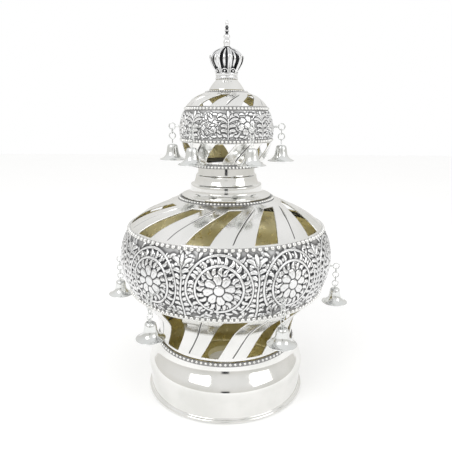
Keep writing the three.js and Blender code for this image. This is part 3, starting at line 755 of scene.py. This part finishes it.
# ---------------------------------------------------------------- finial
def finial():
    """A small open crown of leaf ribs over pearls, on a dotted ring, under a turned mast."""
    form = Form()
    turned(form, FINIAL_RING, 72, tone=0.55)
    bead_row(form, 11.0, 348.1, 0.5, 32)
    bead_row(form, 11.0, 346.1, 0.5, 32, phase=5.6)
    bead_row(form, 11.3, 344.3, 0.6, 30, lean=-40)
    rib = curve_through(WIDE_LEAF, 4)
    share = np.linspace(0, 1, len(rib))
    for k in range(8):
        phi = 45 * k + 12
        path = at(rib[:, 0], rib[:, 1], phi)
        across = np.broadcast_to(sideways(phi), path.shape)
        wide = np.interp(share, [0, 0.1, 0.28, 0.5, 0.7, 0.88, 1], [1.5, 1.5, 2.1, 2.5, 2.1, 1.3, 0.9])
        for side in (-1, 1):
            lobe = path + across * side * (wide * 0.5)[:, None]
            swept(form, lobe, across, wide * 0.46, 0.62, 10)
        swept(form, path * [0.965, 0.965, 1], across, wide * 0.9, 0.35, 10, tone=0.0)
        # curled tip standing off the fullest part of the leaf
        tip = curve_through(LEAF_TIP, 3)
        tip_path = at(tip[:, 0], tip[:, 1], phi)
        tip_across = np.broadcast_to(across[0], tip_path.shape)
        swept(form, tip_path, tip_across, np.linspace(1.3, 0.6, len(tip)), 0.5, 8)
    slim = curve_through(SLIM_LEAF, 4)
    for k in range(8):
        phi = 45 * k + 34.5
        path = at(slim[:, 0], slim[:, 1], phi)
        across = np.broadcast_to(sideways(phi), path.shape)
        wide = np.interp(np.linspace(0, 1, len(path)), [0, 0.3, 0.6, 1], [0.7, 1.4, 1.0, 0.6])
        swept(form, path, across, wide, 0.5, 8)
        turn = np.radians(np.linspace(200, -20, 13))
        arch = at(11.4, 351.4 + 2.6 * np.sin(turn), phi + np.degrees(3.1 * np.cos(turn) / 11.4))
        side = at(1, 0, phi + np.degrees(3.1 * np.cos(turn) / 11.4))
        swept(form, arch, np.cross(np.gradient(arch, axis=0), side), 0.1, 0.1, 4, tone=0.0)
        normal = np.gradient(arch, axis=0)
        normal /= np.linalg.norm(normal, axis=1, keepdims=True)
        swept(form, arch, np.cross(normal, side), 0.55, 0.6, 8)
        bead(form, at(11.3, 351.7, phi), 1.05, at(1, 0, phi), rings=6, around=12)
    core = curve_through(FINIAL_CORE, 4)
    cup = np.vstack([core, (core - 0.6 * outward(core))[::-1], core[:1]])
    turned(form, cup, 48, tone=0.0)
    line = curve_through(MAST, 3)
    line[:, 0] = np.maximum(line[:, 0], 0.01)
    dip = np.interp(line[:, 0], [1.4, 2.9], [0.0, 1.0])
    tone = np.where(line[:, 1] < 376, 0.0, np.where(line[:, 1] > 396, 1, dip))
    turned(form, line, 32, tone=np.repeat(tone, 32))
    bead_row(form, 3.0, 385.4, 0.6, 9)
    bead_row(form, 3.0, 380, 0.75, 6, phase=20)
    return form.object("finial_leaves", [CHASED], ["finial_crown"], smooth=50)


finial()

# ---------------------------------------------------------------- bells on chains
BELL_LINE = [
    (0.01, 0), (2, -0.1), (3.9, -0.5), (5.1, -1.5), (5.7, -3.2), (6.1, -6), (6.6, -9),
    (7.6, -11.6), (9.4, -13.8), (11.8, -15.3), (13.8, -16.1), (14.2, -16.5), (13.8, -16.8), (12, -16.2),
    (9.2, -14.6), (7, -12), (5.8, -9), (5.3, -6), (4.8, -3.4), (4.2, -2.2), (3, -1.4),
    (0.01, -1.2),
]
ROWS = {
    "bulb": {"surface": 113.6, "reach": 123.7, "eyelet": 144.8, "rings": 3, "top": 119.4},
    "globe": {"surface": 48, "reach": 58.4, "eyelet": 296.3, "rings": 2, "top": 277.6},
}
PITCH = 10.1
RING = 3.3
BELLS_A_ROW = 6
FIRST_BELL = 25


def bells(row, sizes):
    """One row's chains and bell cups."""
    for k in range(BELLS_A_ROW):
        phi = FIRST_BELL + 360 * k / BELLS_A_ROW
        radial = at(1, 0, phi)
        tangent = sideways(phi)
        chain = Form()
        z = sizes["eyelet"]
        surface, reach = sizes["surface"], sizes["reach"]
        stem = curve_through([(surface - 0.6, z), (surface + 1.2, z), (reach - RING, z)], 6)
        share = np.linspace(0, 1, len(stem))
        wide = np.interp(share, [0, 0.16, 0.3, 0.5, 0.75, 1], [2.5, 2.3, 1.1, 0.9, 1.2, 0.8])
        swept(chain, at(stem[:, 0], stem[:, 1], phi), np.broadcast_to(tangent, (len(stem), 3)), wide, wide)
        for n in range(sizes["rings"]):
            torus(chain, at(reach, z - PITCH * n, phi), RING, 0.6, tangent)
            low = z - PITCH * n - PITCH / 2
            if n < sizes["rings"] - 1:
                torus(chain, at(reach, low, phi), 2.1, 0.5, radial, squash=1.25)
        last = z - PITCH * (sizes["rings"] - 1)
        loop = at(reach, (last - RING + sizes["top"]) / 2 + 0.3, phi)
        torus(chain, loop, 1.3, 0.42, radial, squash=1.35)
        chain.object(f"{row}_chain_{k + 1}", [BELL], [f"{row}_hanger_{k + 1}"], smooth=60)
        bell = Form()
        line = curve_through(BELL_LINE, 3) + [0, sizes["top"]]
        line[:, 0] = np.maximum(line[:, 0], 0.01)
        spins = np.arange(48) * 7.5
        bell.grid(at(line[::-1, :1], line[::-1, 1:], spins[None]) + at(reach, 0, phi), close=True)
        bell.object(f"{row}_bell_cup_{k + 1}", [BELL], [f"{row}_bell_{k + 1}"], smooth=60)


for name, sizes in ROWS.items():
    bells(name, sizes)


# ---------------------------------------------------------------- camera, light and stage, in metres
FLOOR = 3.0
CAMERA_PLACE = (0, -0.5087, 0.3117)
CAMERA_DOWN = 13.713
CAMERA_ROLL = 0.0045
LENS = 37.38
AIM = (0, 0, 0.2)


def camera():
    """In front and above, looking down at the crown, with a very slight roll."""
    data = bpy.data.cameras.new("camera")
    data.lens = LENS
    data.sensor_width = 36
    body = bpy.data.objects.new("camera", data)
    bpy.context.collection.objects.link(body)
    tilt = Matrix.Rotation(math.radians(90 - CAMERA_DOWN), 4, "X") @ Matrix.Rotation(CAMERA_ROLL, 4, "Z")
    body.matrix_world = Matrix.Translation(CAMERA_PLACE) @ tilt
    bpy.context.scene.camera = body


def lamp(name, place, aim, size, power):
    """A rectangular soft light at a place, facing a point."""
    data = bpy.data.lights.new(name, "AREA")
    data.shape = "RECTANGLE"
    data.size, data.size_y = size
    data.energy = power
    body = bpy.data.objects.new(name, data)
    body.location = place
    body.rotation_euler = (Vector(aim) - Vector(place)).to_track_quat("-Z", "Y").to_euler()
    bpy.context.collection.objects.link(body)


def stage():
    """A pale floor under a soft white world, with a dark slot in front for the silver to mirror."""
    mesh = bpy.data.meshes.new("floor")
    corners = [(x * FLOOR, y * FLOOR, 0) for x, y in ((-1, -1), (1, -1), (1, 1), (-1, 1))]
    mesh.from_pydata(corners, [], [(0, 1, 2, 3)])
    floor = bpy.data.objects.new("floor", mesh)
    floor.location.z = -0.0003
    bpy.context.collection.objects.link(floor)
    material, tree, shader = node_tree("floor")
    speck = surface_noise(tree, 3)
    pale = mixed(tree, speck.outputs["Fac"], (0.93, 0.93, 0.93), (0.96, 0.96, 0.96))
    tree.links.new(pale, shader.inputs["Base Color"])
    shader.inputs["Roughness"].default_value = 0.9
    shader.inputs["Emission Color"].default_value = (1, 1, 1, 1)
    shader.inputs["Emission Strength"].default_value = 0.12
    mesh.materials.append(material)
    world = bpy.data.worlds.new("studio")
    world.use_nodes = True
    tree = world.node_tree
    back = tree.nodes["Background"]
    where = add_node(tree, "ShaderNodeTexCoord")
    parts = add_node(tree, "ShaderNodeSeparateXYZ")
    tree.links.new(where.outputs["Generated"], parts.inputs[0])
    sky = mixed(tree, ramp(tree, parts.outputs["Z"], -0.1, 0.9, 0, 1), (0.76, 0.75, 0.72), (0.93, 0.93, 0.93))
    sides = add_node(tree, "ShaderNodeMath", operation="ABSOLUTE")
    tree.links.new(parts.outputs["X"], sides.inputs[0])
    front = ramp(tree, parts.outputs["Y"], -0.9, -0.6, 1, 0)
    slot = add_node(tree, "ShaderNodeMath", operation="MULTIPLY")
    tree.links.new(ramp(tree, sides.outputs[0], 0.07, 0.12, 1, 0), slot.inputs[0])
    tree.links.new(front, slot.inputs[1])
    low = add_node(tree, "ShaderNodeMath", operation="MULTIPLY")
    tree.links.new(slot.outputs[0], low.inputs[0])
    tree.links.new(ramp(tree, parts.outputs["Z"], 0.1, 0.3, 1, 0), low.inputs[1])
    sky = mixed(tree, low.outputs[0], sky, (0.03, 0.03, 0.035))
    path = add_node(tree, "ShaderNodeLightPath")
    tree.links.new(mixed(tree, path.outputs["Is Camera Ray"], sky, (1.0, 1.0, 1.0)), back.inputs["Color"])
    bpy.context.scene.world = world
    bpy.context.scene.view_settings.view_transform = "Standard"


camera()
stage()
lamp("key", (-0.9, -1.1, 1.3), AIM, (0.9, 0.9), 7)
lamp("fill", (1.1, -0.8, 0.9), AIM, (0.8, 0.8), 3.5)
